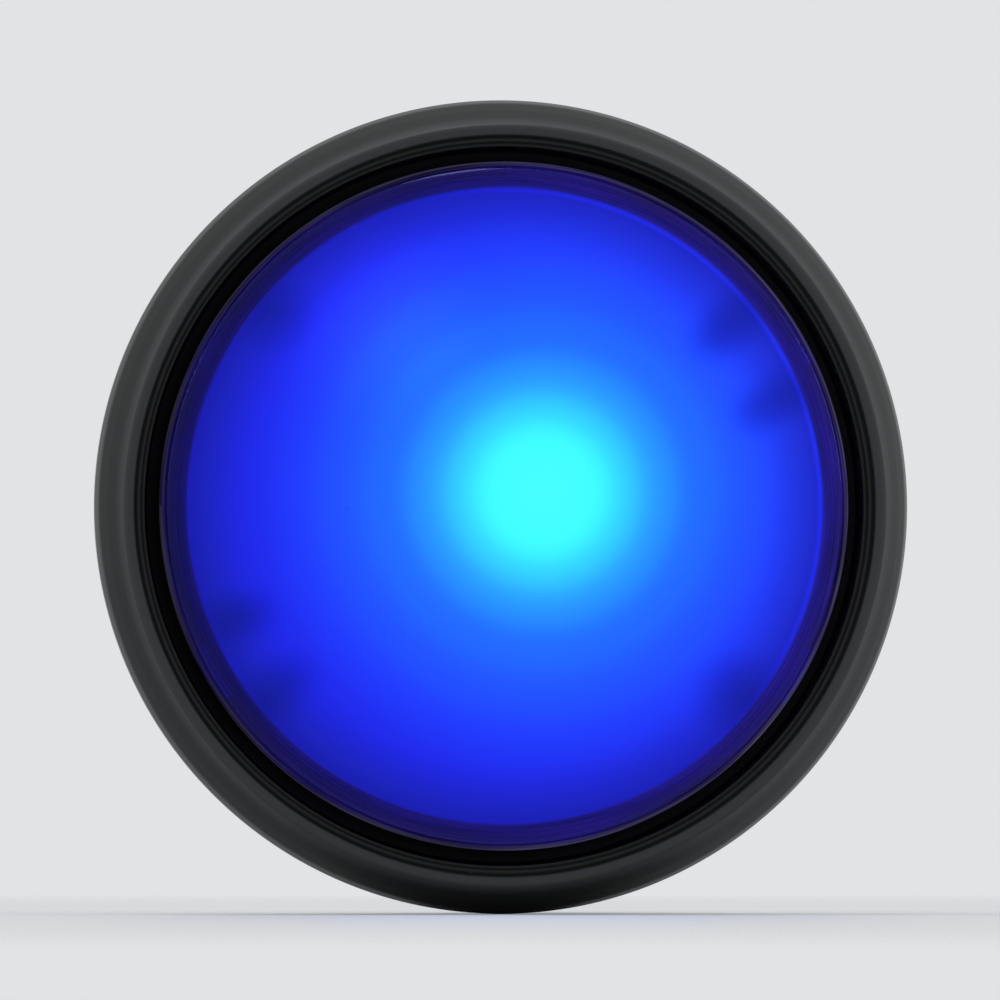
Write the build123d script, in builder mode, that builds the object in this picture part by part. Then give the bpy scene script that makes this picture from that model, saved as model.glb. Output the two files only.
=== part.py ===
from build123d import *
import math
import os

# Large illuminated push button for a panel, all sizes in millimetres.
# The front faces -Y and +Z is up. The origin is the centre of the flange's rear face.
# Heights are measured forward from that face, so a height behind the panel is negative.

# Driving sizes
flange_diameter = 100.0
flange_width = 7.8
rim_height = 3.0
floor_thickness = 2.4
press_travel = 4.0
crown_height = 14.0
lens_wall = 2.2
diffuser_thickness = 1.2
neck_diameter = 27.8
neck_length = 34.0
shoulder_length = 4.0
thread_depth = 0.8
spring_wire = 0.9
nut_flats = 36.0
nut_thickness = 8.0
panel_room = 15.0
twist_angle = 30.0
pin_travel = 1.0
lamp_lean = 12.0

# Clearances
slide_gap = 0.08
seat_gap = 0.02
stop_gap = 0.1
loose_gap = 0.3

# Working planes: FRONT faces the button, SECTION holds turned outlines (radius, height)
# and SIDE holds outlines seen from +X (Z, height)
FRONT = Plane(origin=(0, 0, 0), x_dir=(1, 0, 0), z_dir=(0, -1, 0))
SECTION = Plane(origin=(0, 0, 0), x_dir=(1, 0, 0), z_dir=(0, 0, -1))
SIDE = Plane(origin=(0, 0, 0), x_dir=(0, 0, 1), z_dir=(1, 0, 0))
PRESS_AXIS = Axis((0, 0, 0), (0, -1, 0))

# Rings of the flange and the lens
flange_radius = flange_diameter / 2
lens_radius = flange_radius - flange_width
well_radius = lens_radius + 0.244 * flange_width
ledge_radius = lens_radius + 0.314 * flange_width
lip_radius = lens_radius + 0.410 * flange_width
crest_radius = lens_radius + 0.564 * flange_width
pocket_inner = lens_radius + 0.500 * flange_width
pocket_peak = lens_radius + 0.570 * flange_width
pocket_outer = flange_radius - 0.256 * flange_width
recess_radius = pocket_inner - 0.270 * flange_width

# Heights of the moving stack at rest, from the floor of the well upward
floor_top = floor_thickness
carrier_bottom = floor_top + press_travel + stop_gap
carrier_floor = carrier_bottom + 1.2
carrier_rim_bottom = carrier_bottom + 1.75
carrier_rim_top = carrier_rim_bottom + 1.4
diffuser_bottom = carrier_rim_top + seat_gap
diffuser_top = diffuser_bottom + diffuser_thickness
lens_shoulder = diffuser_top + seat_gap
lens_edge = lens_shoulder + 0.5
lens_apex = lens_edge + crown_height
skirt_bottom = carrier_bottom + 0.3
bezel_height = lens_shoulder + 1.6
upper_ledge = bezel_height - 1.3
lower_ledge = bezel_height - 2.1
pocket_depth = 0.56 * bezel_height

# Neck, stem and spring, from the thread inward
neck_radius = neck_diameter / 2
root_radius = neck_radius - thread_depth
neck_bore = 0.794 * root_radius
lower_bore = 0.840 * root_radius
spring_radius = neck_bore - 0.55 - spring_wire / 2
stem_radius = spring_radius - spring_wire / 2 - 0.75
stem_bore = 0.805 * stem_radius
shelf_bore = stem_radius + slide_gap
shelf_top = -0.41 * neck_length
shelf_bottom = -0.59 * neck_length
stem_reach = 6.0
stem_bottom = shelf_bottom - stem_reach
foot_bottom = -neck_length - 1.0
foot_width = 0.73 * stem_radius
key_reach = stem_radius + 0.6
barb_reach = stem_radius + 1.0
boss_radius = neck_radius + 4.1
sector_reach = 2 * neck_radius

# Holder and its twist lock
holder_top = -neck_length - seat_gap
holder_bottom = holder_top - 3.0
spigot_radius = lower_bore - 0.1
spigot_bore = lower_bore - 1.2
spigot_length = 5.0
spigot_top = -neck_length + spigot_length
lug_width = 3.6
lug_reach = lower_bore + 0.9
lug_bottom = -neck_length + 1.0
lug_top = lug_bottom + 2.0
post_radius = stem_bore - 0.4
post_bore = post_radius - 1.5
post_top = stem_bottom + stem_reach

# Microswitch, a standard body 27.8 by 15.9 by 10.3
case_length = 27.8
case_height = 15.9
case_width = 10.3
case_wall = 1.2
cover_thickness = 2.0
pin_radius = 1.25
pin_x = (stem_radius + stem_bore) / 2
case_top = foot_bottom - press_travel - 1.0
case_bottom = case_top - case_height
case_middle = case_top - case_height / 2
case_z = -0.2 * case_length
peg_inset = 2.8
peg_boss = 2.9
blade_room = 2.5
case_near = pin_x - case_width / 2
case_far = pin_x + case_width / 2
tray_far = case_far - cover_thickness
peg_low = (case_z - case_length / 2 + peg_inset, case_bottom + peg_inset)
peg_high = (case_z + case_length / 2 - peg_inset, case_top - peg_inset)
plate_far = case_near - 0.05
plate_near = plate_far - 1.7
pin_tip = foot_bottom - (press_travel - pin_travel) - seat_gap
spade_width = 4.8
spade_thickness = 0.8
spade_reach = 6.4

# Snap blade, pivoted on the common terminal and pressed by the pin at Z = 0
pivot_z = -0.43885 * case_length
blade_height = case_top - peg_inset - peg_boss - blade_room
blade_thickness = 0.3
blade_width = 4.0
knuckle_radius = 0.45
contact_z = 0.18 * case_length
contact_drop = pin_travel * (contact_z - pivot_z) / -pivot_z
rest_face = blade_height + 0.7 + seat_gap
work_face = blade_height - 0.7 - contact_drop - 0.12

# Lamp
wedge_half = 0.234 * post_bore
lead_radius = 0.25
lead_z = wedge_half + lead_radius + 0.03
strip_z = lead_z + lead_radius + 0.05
strip_thickness = 0.5
strip_near = -0.72 * post_bore
strip_far = plate_near - 0.1
lead_x = (strip_near + strip_far) / 2
tab_z = post_radius - 0.2
strip_bend = holder_top - 0.6
lamp_foot = holder_top + 1.0
lamp_wedge_length = 7.0
lamp_head_length = 7.0
lamp_spade_reach = 8.0
lamp_neck = lamp_foot + lamp_wedge_length
lamp_head = lamp_neck + lamp_head_length
led_radius = 0.53 * post_bore
led_base = lamp_head + 2.4
lean = math.radians(lamp_lean)
lean_x = 0.924
lean_z = 0.382

os.makedirs("parts", exist_ok=True)


def sector(start, end, reach):
    """Outline of a slice of a disc between two angles in degrees."""
    points = [(0.0, 0.0)]
    for step in range(7):
        angle = math.radians(start + (end - start) * step / 6)
        points.append((reach * math.cos(angle), reach * math.sin(angle)))
    return points


# Bezel body: flange ring, well, boss and neck in one moulding with a cored underside
cone_middle = (
    (flange_radius + crest_radius) / 2 + 0.28,
    (rim_height + bezel_height) / 2 + 0.10,
)
with BuildPart() as bezel_body:
    with BuildSketch(SECTION) as bezel_section:
        with BuildLine():
            Polyline(
                (crest_radius, bezel_height),
                (lip_radius, bezel_height - 0.55),
                (lip_radius, upper_ledge),
                (ledge_radius, upper_ledge),
                (ledge_radius, lower_ledge),
                (well_radius, lower_ledge),
                (well_radius, floor_top),
                (neck_bore, floor_top),
                (neck_bore, shelf_top),
                (shelf_bore, shelf_top),
                (shelf_bore, shelf_bottom),
                (lower_bore, shelf_bottom),
                (lower_bore, -neck_length),
                (root_radius, -neck_length),
                (root_radius, -shoulder_length),
                (neck_radius, -shoulder_length),
                (neck_radius, 0),
                (boss_radius, 0),
                (boss_radius, 0.9),
                (recess_radius, 0.9),
                (recess_radius, 0),
                (pocket_inner, 0),
                (pocket_inner, pocket_depth),
                (pocket_peak, pocket_depth),
                (pocket_outer, rim_height),
                (pocket_outer, 0),
                (flange_radius, 0),
                (flange_radius, rim_height),
            )
            ThreePointArc((flange_radius, rim_height), cone_middle, (crest_radius, bezel_height))
        make_face()
        corners = bezel_section.vertices()
        fillet(corners.sort_by_distance((flange_radius, rim_height))[0], 1.2)
        corners = bezel_section.vertices()
        fillet(corners.sort_by_distance((crest_radius, bezel_height))[0], 0.6)
        corners = bezel_section.vertices()
        fillet(corners.sort_by_distance((lip_radius, bezel_height - 0.55))[0], 0.4)
        corners = bezel_section.vertices()
        fillet(corners.sort_by_distance((well_radius, lower_ledge))[0], 0.2)
        corners = bezel_section.vertices()
        fillet(corners.sort_by_distance((ledge_radius, upper_ledge))[0], 0.2)
        corners = bezel_section.vertices()
        chamfer(corners.sort_by_distance((root_radius, -neck_length))[0], 0.5)
        corners = bezel_section.vertices()
        chamfer(corners.sort_by_distance((neck_bore, floor_top))[0], 0.4)
    revolve(axis=PRESS_AXIS)
    # Eight stiffening ribs, level with the rear of the flange
    with BuildSketch(FRONT):
        with PolarLocations((boss_radius + pocket_outer) / 2, 8, start_angle=22.5):
            Rectangle(pocket_outer - boss_radius + 1.0, 1.8)
    extrude(amount=0.9 * floor_thickness)
    # Two keyways through the guide shelf
    with BuildSketch(FRONT.offset(shelf_bottom)):
        with PolarLocations((stem_radius + key_reach) / 2, 2):
            Rectangle(key_reach - stem_radius + 0.5, 2.3)
    extrude(amount=shelf_top - shelf_bottom, mode=Mode.SUBTRACT)
    # Twist-lock grooves: an entry from the rear, then a run to the locked place
    for side in (90, 270):
        with BuildSketch(FRONT.offset(-neck_length)):
            Circle(lug_reach + 0.35)
            Polygon(*sector(side - twist_angle - 11, side - twist_angle + 11, sector_reach),
                    align=None,
                    mode=Mode.INTERSECT)
        extrude(amount=lug_top + 0.2 + neck_length, mode=Mode.SUBTRACT)
        with BuildSketch(FRONT.offset(lug_bottom - 0.2)):
            Circle(lug_reach + 0.35)
            Polygon(*sector(side - twist_angle - 11, side + 11, sector_reach), align=None,
                    mode=Mode.INTERSECT)
        extrude(amount=lug_top - lug_bottom + 0.4, mode=Mode.SUBTRACT)
bezel_body.part.label = "bezel_body"
export_step(bezel_body.part, "parts/bezel_body.step")

# Panel nut: hexagon with a washer face, relieved at the front for the neck's shoulder
nut_front = -shoulder_length - panel_room
nut_back = nut_front - nut_thickness
with BuildPart() as panel_nut:
    with BuildSketch(FRONT.offset(nut_back)):
        RegularPolygon(radius=nut_flats / 2, side_count=6, major_radius=False)
    extrude(amount=nut_thickness)
    chamfer(panel_nut.faces().sort_by(Axis.Y)[-1].edges(), 0.8)
    with BuildSketch(FRONT.offset(nut_front - 2.0)):
        Circle(0.595 * nut_flats)
    extrude(amount=2.0)
    with BuildSketch(FRONT.offset(nut_back)):
        Circle(root_radius + 0.1)
    extrude(amount=nut_thickness, mode=Mode.SUBTRACT)
    with BuildSketch(FRONT.offset(nut_front)):
        Circle(neck_radius + 0.2)
    extrude(amount=-shoulder_length + 1.0, mode=Mode.SUBTRACT)
    washer_edge = panel_nut.edges().filter_by(GeomType.CIRCLE).sort_by(SortBy.RADIUS)[-2:]
    fillet(washer_edge, 0.5)
panel_nut.part.label = "panel_nut"
export_step(panel_nut.part, "parts/panel_nut.step")

# Dome lens: a spherical crown on a short skirt, with an inner shoulder over the diffuser
crown_radius = (lens_radius**2 + crown_height**2) / (2 * crown_height)
crown_centre = lens_apex - crown_radius
inner_crown = crown_radius - lens_wall
inner_edge = lens_shoulder + 0.3
inner_radius = math.sqrt(inner_crown**2 - (inner_edge - crown_centre) ** 2)
socket_radius = lens_radius - lens_wall
outer_turn = math.asin(lens_radius / crown_radius) / 2
inner_turn = math.asin(inner_radius / inner_crown) / 2
outer_middle = (
    crown_radius * math.sin(outer_turn),
    crown_centre + crown_radius * math.cos(outer_turn),
)
inner_middle = (
    inner_crown * math.sin(inner_turn),
    crown_centre + inner_crown * math.cos(inner_turn),
)
hook_width = 7.0
with BuildPart() as dome_lens:
    with BuildSketch(SECTION) as lens_section:
        with BuildLine():
            ThreePointArc((lens_radius, lens_edge), outer_middle, (0, lens_apex))
            Line((0, lens_apex), (0, lens_apex - lens_wall))
            ThreePointArc((0, lens_apex - lens_wall), inner_middle, (inner_radius, inner_edge))
            Polyline(
                (inner_radius, inner_edge),
                (inner_radius, lens_shoulder),
                (socket_radius, lens_shoulder),
                (socket_radius, skirt_bottom),
                (lens_radius, skirt_bottom),
                (lens_radius, lens_edge),
            )
        make_face()
        fillet(lens_section.vertices().sort_by_distance((lens_radius, lens_edge))[0], 1.0)
        fillet(lens_section.vertices().sort_by_distance((lens_radius, skirt_bottom))[0], 0.4)
    revolve(axis=PRESS_AXIS)
    # Four snap hooks that close under the rim of the carrier
    with BuildSketch(FRONT.offset(skirt_bottom)):
        with PolarLocations(socket_radius - 1.0, 2, start_angle=30):
            Rectangle(3.0, hook_width)
        with PolarLocations(socket_radius - 1.0, 2, start_angle=150):
            Rectangle(3.0, hook_width)
    extrude(amount=carrier_rim_bottom - skirt_bottom - 0.05)
    hook_edges = dome_lens.edges().filter_by(GeomType.LINE).group_by(Axis.Y)[-1]
    hook_edges = hook_edges.filter_by(lambda edge: abs(edge.length - hook_width) < 0.01)
    chamfer(hook_edges, 0.8)
dome_lens.part.label = "dome_lens"
export_step(dome_lens.part, "parts/dome_lens.step")

# Diffuser: a flat opal disc held between the carrier's rim and the lens's shoulder
with BuildPart() as diffuser:
    with BuildSketch(FRONT.offset(diffuser_bottom)):
        Circle(socket_radius - loose_gap)
    extrude(amount=diffuser_thickness)
    fillet(diffuser.edges(), 0.25)
diffuser.part.label = "diffuser"
export_step(diffuser.part, "parts/diffuser.step")

# Plunger carrier: a shallow dish on a hollow stem
dish_radius = socket_radius - 4.6
with BuildPart() as plunger_carrier:
    with BuildSketch(SECTION):
        with BuildLine():
            Polyline(
                (stem_bore, stem_bottom),
                (stem_radius, stem_bottom),
                (stem_radius, carrier_bottom),
                (dish_radius, carrier_bottom),
                (dish_radius + 1.2, carrier_rim_bottom),
                (socket_radius - 0.4, carrier_rim_bottom),
                (socket_radius - 0.4, carrier_rim_top),
                (dish_radius + 0.8, carrier_rim_top),
                (dish_radius - 0.6, carrier_floor),
                (stem_bore, carrier_floor),
                (stem_bore, stem_bottom),
            )
        make_face()
    revolve(axis=PRESS_AXIS)
    # Four spokes on the dish, in line with the lens's hooks
    rib_middle = (stem_radius + dish_radius) / 2
    with BuildSketch(FRONT.offset(carrier_floor - 0.1)):
        with PolarLocations(rib_middle, 2, start_angle=30):
            Rectangle(dish_radius - stem_radius - 1.0, 1.4)
        with PolarLocations(rib_middle, 2, start_angle=150):
            Rectangle(dish_radius - stem_radius - 1.0, 1.4)
    extrude(amount=1.3)
    # Keys that stop the dome turning
    with BuildSketch(FRONT.offset(stem_bottom + 1.0)):
        with PolarLocations((stem_radius + key_reach) / 2 - 0.2, 2):
            Rectangle(key_reach - stem_radius + 0.4, 2.0)
    extrude(amount=shelf_top - stem_bottom + press_travel + 1.0)
    # Slots that free two snap arms, and the barbs that catch under the shelf
    with BuildSketch(FRONT.offset(stem_bottom)):
        with Locations((0.42 * stem_radius, 0), (-0.42 * stem_radius, 0)):
            Rectangle(0.8, 2.2 * stem_radius)
    extrude(amount=shelf_top - stem_bottom + 1.5, mode=Mode.SUBTRACT)
    with BuildSketch(SIDE):
        for side in (1, -1):
            Polygon(
                (side * (stem_radius - 0.6), shelf_bottom - seat_gap),
                (side * barb_reach, shelf_bottom - seat_gap),
                (side * barb_reach, shelf_bottom - 0.7),
                (side * (stem_radius - 0.6), shelf_bottom - 2.8),
                align=None,
            )
    extrude(amount=0.31 * stem_radius, both=True)
    # Foot that presses the switch
    with BuildSketch(FRONT.offset(foot_bottom)):
        Circle(stem_radius - 0.1)
        Circle(stem_bore + 0.1, mode=Mode.SUBTRACT)
        with Locations((stem_radius, 0)):
            Rectangle(stem_radius, foot_width, mode=Mode.INTERSECT)
    extrude(amount=stem_bottom - foot_bottom + 0.5)
plunger_carrier.part.label = "plunger_carrier"
export_step(plunger_carrier.part, "parts/plunger_carrier.step")

# Return spring between the guide shelf and the carrier
spring_turns = 6
spring_length = carrier_bottom - shelf_top - spring_wire - 2 * seat_gap
spring_start = shelf_top + spring_wire / 2 + seat_gap
with BuildPart() as return_spring:
    with BuildLine() as coil:
        Helix(
            pitch=spring_length / spring_turns,
            height=spring_length,
            radius=spring_radius,
            center=(0, -spring_start, 0),
            direction=(0, -1, 0),
        )
    with BuildSketch(Plane(origin=coil.line @ 0, z_dir=coil.line % 0)):
        Circle(spring_wire / 2)
    sweep(path=coil.line, is_frenet=True)
return_spring.part.label = "return_spring"
export_step(return_spring.part, "parts/return_spring.step")

# Switch holder: disc, twist-lock spigot, lamp post, switch plate and two pegs
foot_turn = math.degrees(math.asin(foot_width / 2 / stem_bore)) + 4
with BuildPart() as switch_holder:
    with BuildSketch(FRONT.offset(holder_bottom)):
        Circle(root_radius)
    extrude(amount=holder_top - holder_bottom)
    chamfer(switch_holder.edges().group_by(Axis.Y)[-1], 0.4)
    with BuildSketch(FRONT.offset(holder_top - 0.5)):
        Circle(spigot_radius)
        Circle(spigot_bore, mode=Mode.SUBTRACT)
    extrude(amount=spigot_top - holder_top + 0.5)
    with BuildSketch(FRONT.offset(lug_bottom)):
        with PolarLocations((spigot_radius + lug_reach) / 2 - 0.2, 2, start_angle=90):
            Rectangle(lug_reach - spigot_radius + 0.4, lug_width)
    extrude(amount=lug_top - lug_bottom)
    with BuildSketch(FRONT.offset(holder_bottom)):
        Circle(post_radius)
    extrude(amount=post_top - holder_bottom)
    with BuildSketch(FRONT.offset(strip_bend - 0.1)):
        Circle(post_bore)
    extrude(amount=post_top - strip_bend + 0.1, mode=Mode.SUBTRACT)
    # Curved window for the foot, long enough for the twist
    with BuildSketch(FRONT.offset(holder_bottom)):
        Circle(stem_radius + 0.3)
        Circle(stem_bore - 0.2, mode=Mode.SUBTRACT)
        Polygon(*sector(-foot_turn, foot_turn + twist_angle, sector_reach), align=None,
                mode=Mode.INTERSECT)
    extrude(amount=holder_top - holder_bottom, mode=Mode.SUBTRACT)
    # Channels for the two lamp strips
    with BuildSketch(FRONT.offset(strip_bend - 0.1)):
        with Locations(((strip_near + strip_far) / 2, 0)):
            Rectangle(strip_far - strip_near + 0.2, 2 * (tab_z + strip_thickness + 0.1))
    extrude(amount=strip_thickness + 0.2, mode=Mode.SUBTRACT)
    with BuildSketch(FRONT.offset(holder_bottom)):
        for side in (1, -1):
            with Locations((strip_far - spade_width / 2, side * (tab_z + strip_thickness / 2))):
                Rectangle(spade_width + 0.2, strip_thickness + 0.2)
    extrude(amount=strip_bend - holder_bottom, mode=Mode.SUBTRACT)
    # Plate beside the microswitch, with a snap peg for each of its holes
    with BuildSketch(SIDE.offset(plate_near)):
        with Locations((case_z, (holder_bottom + case_bottom) / 2 + 0.2)):
            Rectangle(case_length, holder_bottom - case_bottom + 0.6)
    extrude(amount=plate_far - plate_near)
    with BuildSketch(SIDE.offset(plate_far - 0.2)):
        with Locations(peg_low, peg_high):
            Circle(1.5)
    extrude(amount=case_width + 1.2)
    peg_rims = switch_holder.edges().filter_by(GeomType.CIRCLE).sort_by(Axis.X)[-2:]
    chamfer(peg_rims, 0.4)
switch_holder.part.label = "switch_holder"
export_step(switch_holder.part, "parts/switch_holder.step")

# Lamp base: a flat wedge with a round head and two holes for the leads
with BuildPart() as lamp_base:
    with BuildSketch(FRONT.offset(lamp_foot)):
        Rectangle(2 * (post_bore - 0.4), 2 * wedge_half)
    extrude(amount=lamp_neck - lamp_foot)
    with BuildSketch(FRONT.offset(lamp_neck)):
        Circle(post_bore - 0.2)
    extrude(amount=lamp_head - lamp_neck)
    fillet(lamp_base.edges().filter_by(GeomType.CIRCLE).sort_by(Axis.Y)[0], 0.6)
    with BuildSketch(FRONT.offset(lamp_neck)):
        with Locations((lead_x, lead_z), (lead_x, -lead_z)):
            Circle(lead_radius + 0.04)
    extrude(amount=lamp_head - lamp_neck, mode=Mode.SUBTRACT)
lamp_base.part.label = "lamp_base"
export_step(lamp_base.part, "parts/lamp_base.step")

# Light source: a round-nosed epoxy body that leans a little toward the upper right
led_plane = Plane(
    origin=(0, -led_base, 0),
    x_dir=(math.cos(lean) * lean_x, math.sin(lean), math.cos(lean) * lean_z),
    z_dir=(math.sin(lean) * lean_x, -math.cos(lean), math.sin(lean) * lean_z),
)
led_height = 2.2 * led_radius
with BuildPart(led_plane) as led_emitter:
    Cylinder(1.16 * led_radius, 1.0, align=(Align.CENTER, Align.CENTER, Align.MIN))
    Cylinder(led_radius, led_height, align=(Align.CENTER, Align.CENTER, Align.MIN))
    with Locations((0, 0, led_height)):
        Sphere(led_radius)
led_emitter.part.label = "led_emitter"
export_step(led_emitter.part, "parts/led_emitter.step")

# Leads: two wires from the light source, through the base, along the wedge's faces
with BuildPart() as led_leads:
    for side in (1, -1):
        drop = math.tan(lean) * (lean_x * lead_x + lean_z * side * lead_z)
        with BuildSketch(FRONT.offset(lamp_foot + 0.6)):
            with Locations((lead_x, side * lead_z)):
                Circle(lead_radius)
        extrude(amount=led_base - drop - 0.08 - lamp_foot - 0.6)
led_leads.part.label = "led_leads"
export_step(led_leads.part, "parts/led_leads.step")

# Lamp terminals: brass strips bent twice, each ending in a spade behind the holder
lamp_spade_end = holder_bottom - lamp_spade_reach
for name, side in (("lamp_terminal_upper", 1), ("lamp_terminal_lower", -1)):
    with BuildPart() as lamp_terminal:
        with BuildSketch(SIDE.offset(strip_near)):
            Polygon(
                (side * strip_z, lamp_neck - 1.0),
                (side * (strip_z + strip_thickness), lamp_neck - 1.0),
                (side * (strip_z + strip_thickness), strip_bend + strip_thickness),
                (side * (tab_z + strip_thickness), strip_bend + strip_thickness),
                (side * (tab_z + strip_thickness), strip_bend - 0.3),
                (side * tab_z, strip_bend - 0.3),
                (side * tab_z, strip_bend),
                (side * strip_z, strip_bend),
                align=None,
            )
        extrude(amount=strip_far - strip_near)
        with BuildSketch(FRONT.offset(lamp_spade_end)):
            with Locations((strip_far - spade_width / 2, side * (tab_z + strip_thickness / 2))):
                Rectangle(spade_width, strip_thickness)
        extrude(amount=strip_bend - 0.2 - lamp_spade_end)
        tip_edges = lamp_terminal.edges().filter_by(Axis.Z).group_by(Axis.Y)[-1]
        chamfer(tip_edges, 1.0)
        with BuildSketch(SIDE.rotated((0, 90, 0))):
            with Locations((spade_width / 2 - strip_far, lamp_spade_end + 3.0)):
                Circle(0.8)
        extrude(amount=30, both=True, mode=Mode.SUBTRACT)
    lamp_terminal.part.label = name
    export_step(lamp_terminal.part, "parts/" + name + ".step")

# Microswitch body: a tray with a boss round each fixing hole and slots for the spades
slot_middle = (blade_height + 0.7 + 0.6 + 0.4, work_face - 0.6 - 0.4)
with BuildPart() as switch_case:
    with BuildSketch(SIDE.offset(case_near)):
        with Locations((case_z, case_middle)):
            RectangleRounded(case_length, case_height, 0.8)
    extrude(amount=tray_far - case_near)
    with BuildSketch(SIDE.offset(case_near + case_wall)):
        with Locations((case_z, case_middle)):
            Rectangle(case_length - 2 * case_wall, case_height - 2 * case_wall)
        with Locations(peg_low, peg_high):
            Circle(peg_boss, mode=Mode.SUBTRACT)
    extrude(amount=tray_far - case_near, mode=Mode.SUBTRACT)
    with BuildSketch(SIDE.offset(case_near)):
        with Locations(peg_low, peg_high):
            Circle(1.6)
    extrude(amount=case_width, mode=Mode.SUBTRACT)
    with BuildSketch(FRONT.offset(case_top - 2 * case_wall)):
        with Locations((pin_x, 0)):
            Circle(pin_radius + 0.05)
    extrude(amount=3 * case_wall, mode=Mode.SUBTRACT)
    # Slots for the two end spades and the common spade
    with BuildSketch(SIDE.offset(pin_x - spade_width / 2 - 0.05)):
        with Locations((case_z + case_length / 2, slot_middle[0])):
            Rectangle(4 * case_wall, spade_thickness + 0.1)
        with Locations((case_z + case_length / 2, slot_middle[1])):
            Rectangle(4 * case_wall, spade_thickness + 0.1)
        with Locations((pivot_z, case_bottom)):
            Rectangle(spade_thickness + 0.1, 4 * case_wall)
    extrude(amount=spade_width + 0.1, mode=Mode.SUBTRACT)
switch_case.part.label = "switch_case"
export_step(switch_case.part, "parts/switch_case.step")

# Cover that closes the tray
with BuildPart() as switch_cover:
    with BuildSketch(SIDE.offset(tray_far + seat_gap)):
        with Locations((case_z, case_middle)):
            RectangleRounded(case_length, case_height, 0.8)
        with Locations(peg_low, peg_high):
            Circle(1.6, mode=Mode.SUBTRACT)
    extrude(amount=cover_thickness - seat_gap)
    chamfer(switch_cover.faces().sort_by(Axis.X)[-1].outer_wire().edges(), 0.3)
switch_cover.part.label = "switch_cover"
export_step(switch_cover.part, "parts/switch_cover.step")

# Switch pin: a round actuator with a stop collar and a rounded inner end
pin_inner = blade_height + blade_thickness / 2 + seat_gap
collar_top = case_top - case_wall - 0.1
with BuildPart() as switch_pin:
    with BuildSketch(Plane(origin=(pin_x, 0, 0), x_dir=(1, 0, 0), z_dir=(0, 0, -1))):
        with BuildLine():
            Polyline(
                (0, pin_inner),
                (0, pin_tip),
                (pin_radius - 0.4, pin_tip),
                (pin_radius, pin_tip - 0.4),
                (pin_radius, collar_top),
                (pin_radius + 0.7, collar_top),
                (pin_radius + 0.7, collar_top - 1.0),
                (pin_radius, collar_top - 1.0),
                (pin_radius, pin_inner + pin_radius),
            )
            RadiusArc((0, pin_inner), (pin_radius, pin_inner + pin_radius), -pin_radius)
        make_face()
    revolve(axis=Axis((pin_x, 0, 0), (0, -1, 0)))
switch_pin.part.label = "switch_pin"
export_step(switch_pin.part, "parts/switch_pin.step")

# Snap blade: a slotted spring strip with a rolled knuckle that rocks on the common terminal
with BuildPart() as snap_blade:
    with BuildSketch(FRONT.offset(blade_height - blade_thickness / 2)):
        with Locations((pin_x, (pivot_z - 1.0 + contact_z + 1.6) / 2)):
            RectangleRounded(blade_width, contact_z + 1.6 - pivot_z + 1.0, 0.6)
        with Locations((pin_x, 0.574 * pivot_z)):
            SlotOverall(-0.46 * pivot_z, 1.6, rotation=90, mode=Mode.SUBTRACT)
        with Locations((pin_x, contact_z)):
            Circle(0.75, mode=Mode.SUBTRACT)
    extrude(amount=blade_thickness)
    with Locations(Location((pin_x, -blade_height, pivot_z), (0, 90, 0))):
        Cylinder(knuckle_radius, blade_width)
snap_blade.part.label = "snap_blade"
export_step(snap_blade.part, "parts/snap_blade.step")

# Moving contact: a rivet through the blade's free end
with BuildPart() as moving_contact:
    with Locations(FRONT.offset(blade_height - 0.7).location * Location((pin_x, contact_z, 0))):
        Cylinder(1.1, 0.5, align=(Align.CENTER, Align.CENTER, Align.MIN))
        Cylinder(0.7, 1.4, align=(Align.CENTER, Align.CENTER, Align.MIN))
    with Locations(FRONT.offset(blade_height + 0.2).location * Location((pin_x, contact_z, 0))):
        Cylinder(1.3, 0.5, align=(Align.CENTER, Align.CENTER, Align.MIN))
moving_contact.part.label = "moving_contact"
export_step(moving_contact.part, "parts/moving_contact.step")

# Fixed contacts: one that the blade rests on and one that it works against
for name, face, side in (("rest_contact", rest_face, 1), ("work_contact", work_face, -1)):
    with BuildPart() as fixed_contact:
        with BuildSketch(FRONT.offset(face)):
            with Locations((pin_x, contact_z)):
                Circle(1.3)
        extrude(amount=side * 0.55)
        with BuildSketch(FRONT.offset(face)):
            with Locations((pin_x, contact_z)):
                Circle(0.7)
        extrude(amount=side * (0.6 + spade_thickness))
    fixed_contact.part.label = name
    export_step(fixed_contact.part, "parts/" + name + ".step")

# End spades, each with a hole for its contact and one for the wire
spade_end = case_z + case_length / 2 + spade_reach
for name, middle in (("rest_terminal", slot_middle[0]), ("work_terminal", slot_middle[1])):
    with BuildPart() as end_spade:
        with BuildSketch(FRONT.offset(middle - spade_thickness / 2)):
            with Locations((pin_x, (contact_z - 1.6 + spade_end) / 2)):
                Rectangle(spade_width, spade_end - contact_z + 1.6)
            with Locations((pin_x, contact_z)):
                Circle(0.75, mode=Mode.SUBTRACT)
            with Locations((pin_x, spade_end - 2.6)):
                Circle(0.8, mode=Mode.SUBTRACT)
        extrude(amount=spade_thickness)
        chamfer(end_spade.edges().filter_by(Axis.Y).group_by(Axis.Z)[-1], 1.0)
    end_spade.part.label = name
    export_step(end_spade.part, "parts/" + name + ".step")

# Common spade, whose inner end carries the blade
with BuildPart() as common_terminal:
    spade_low = case_bottom - spade_reach
    pivot_top = blade_height - knuckle_radius - 0.1
    with BuildSketch(FRONT.offset(spade_low)):
        with Locations((pin_x, pivot_z)):
            Rectangle(spade_width, spade_thickness)
    extrude(amount=pivot_top - spade_low)
    chamfer(common_terminal.edges().filter_by(Axis.Z).group_by(Axis.Y)[-1], 1.0)
    with BuildSketch(SIDE.rotated((0, 90, 0))):
        with Locations((-pin_x, spade_low + 2.6)):
            Circle(0.8)
    extrude(amount=30, both=True, mode=Mode.SUBTRACT)
common_terminal.part.label = "common_terminal"
export_step(common_terminal.part, "parts/common_terminal.step")
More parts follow.
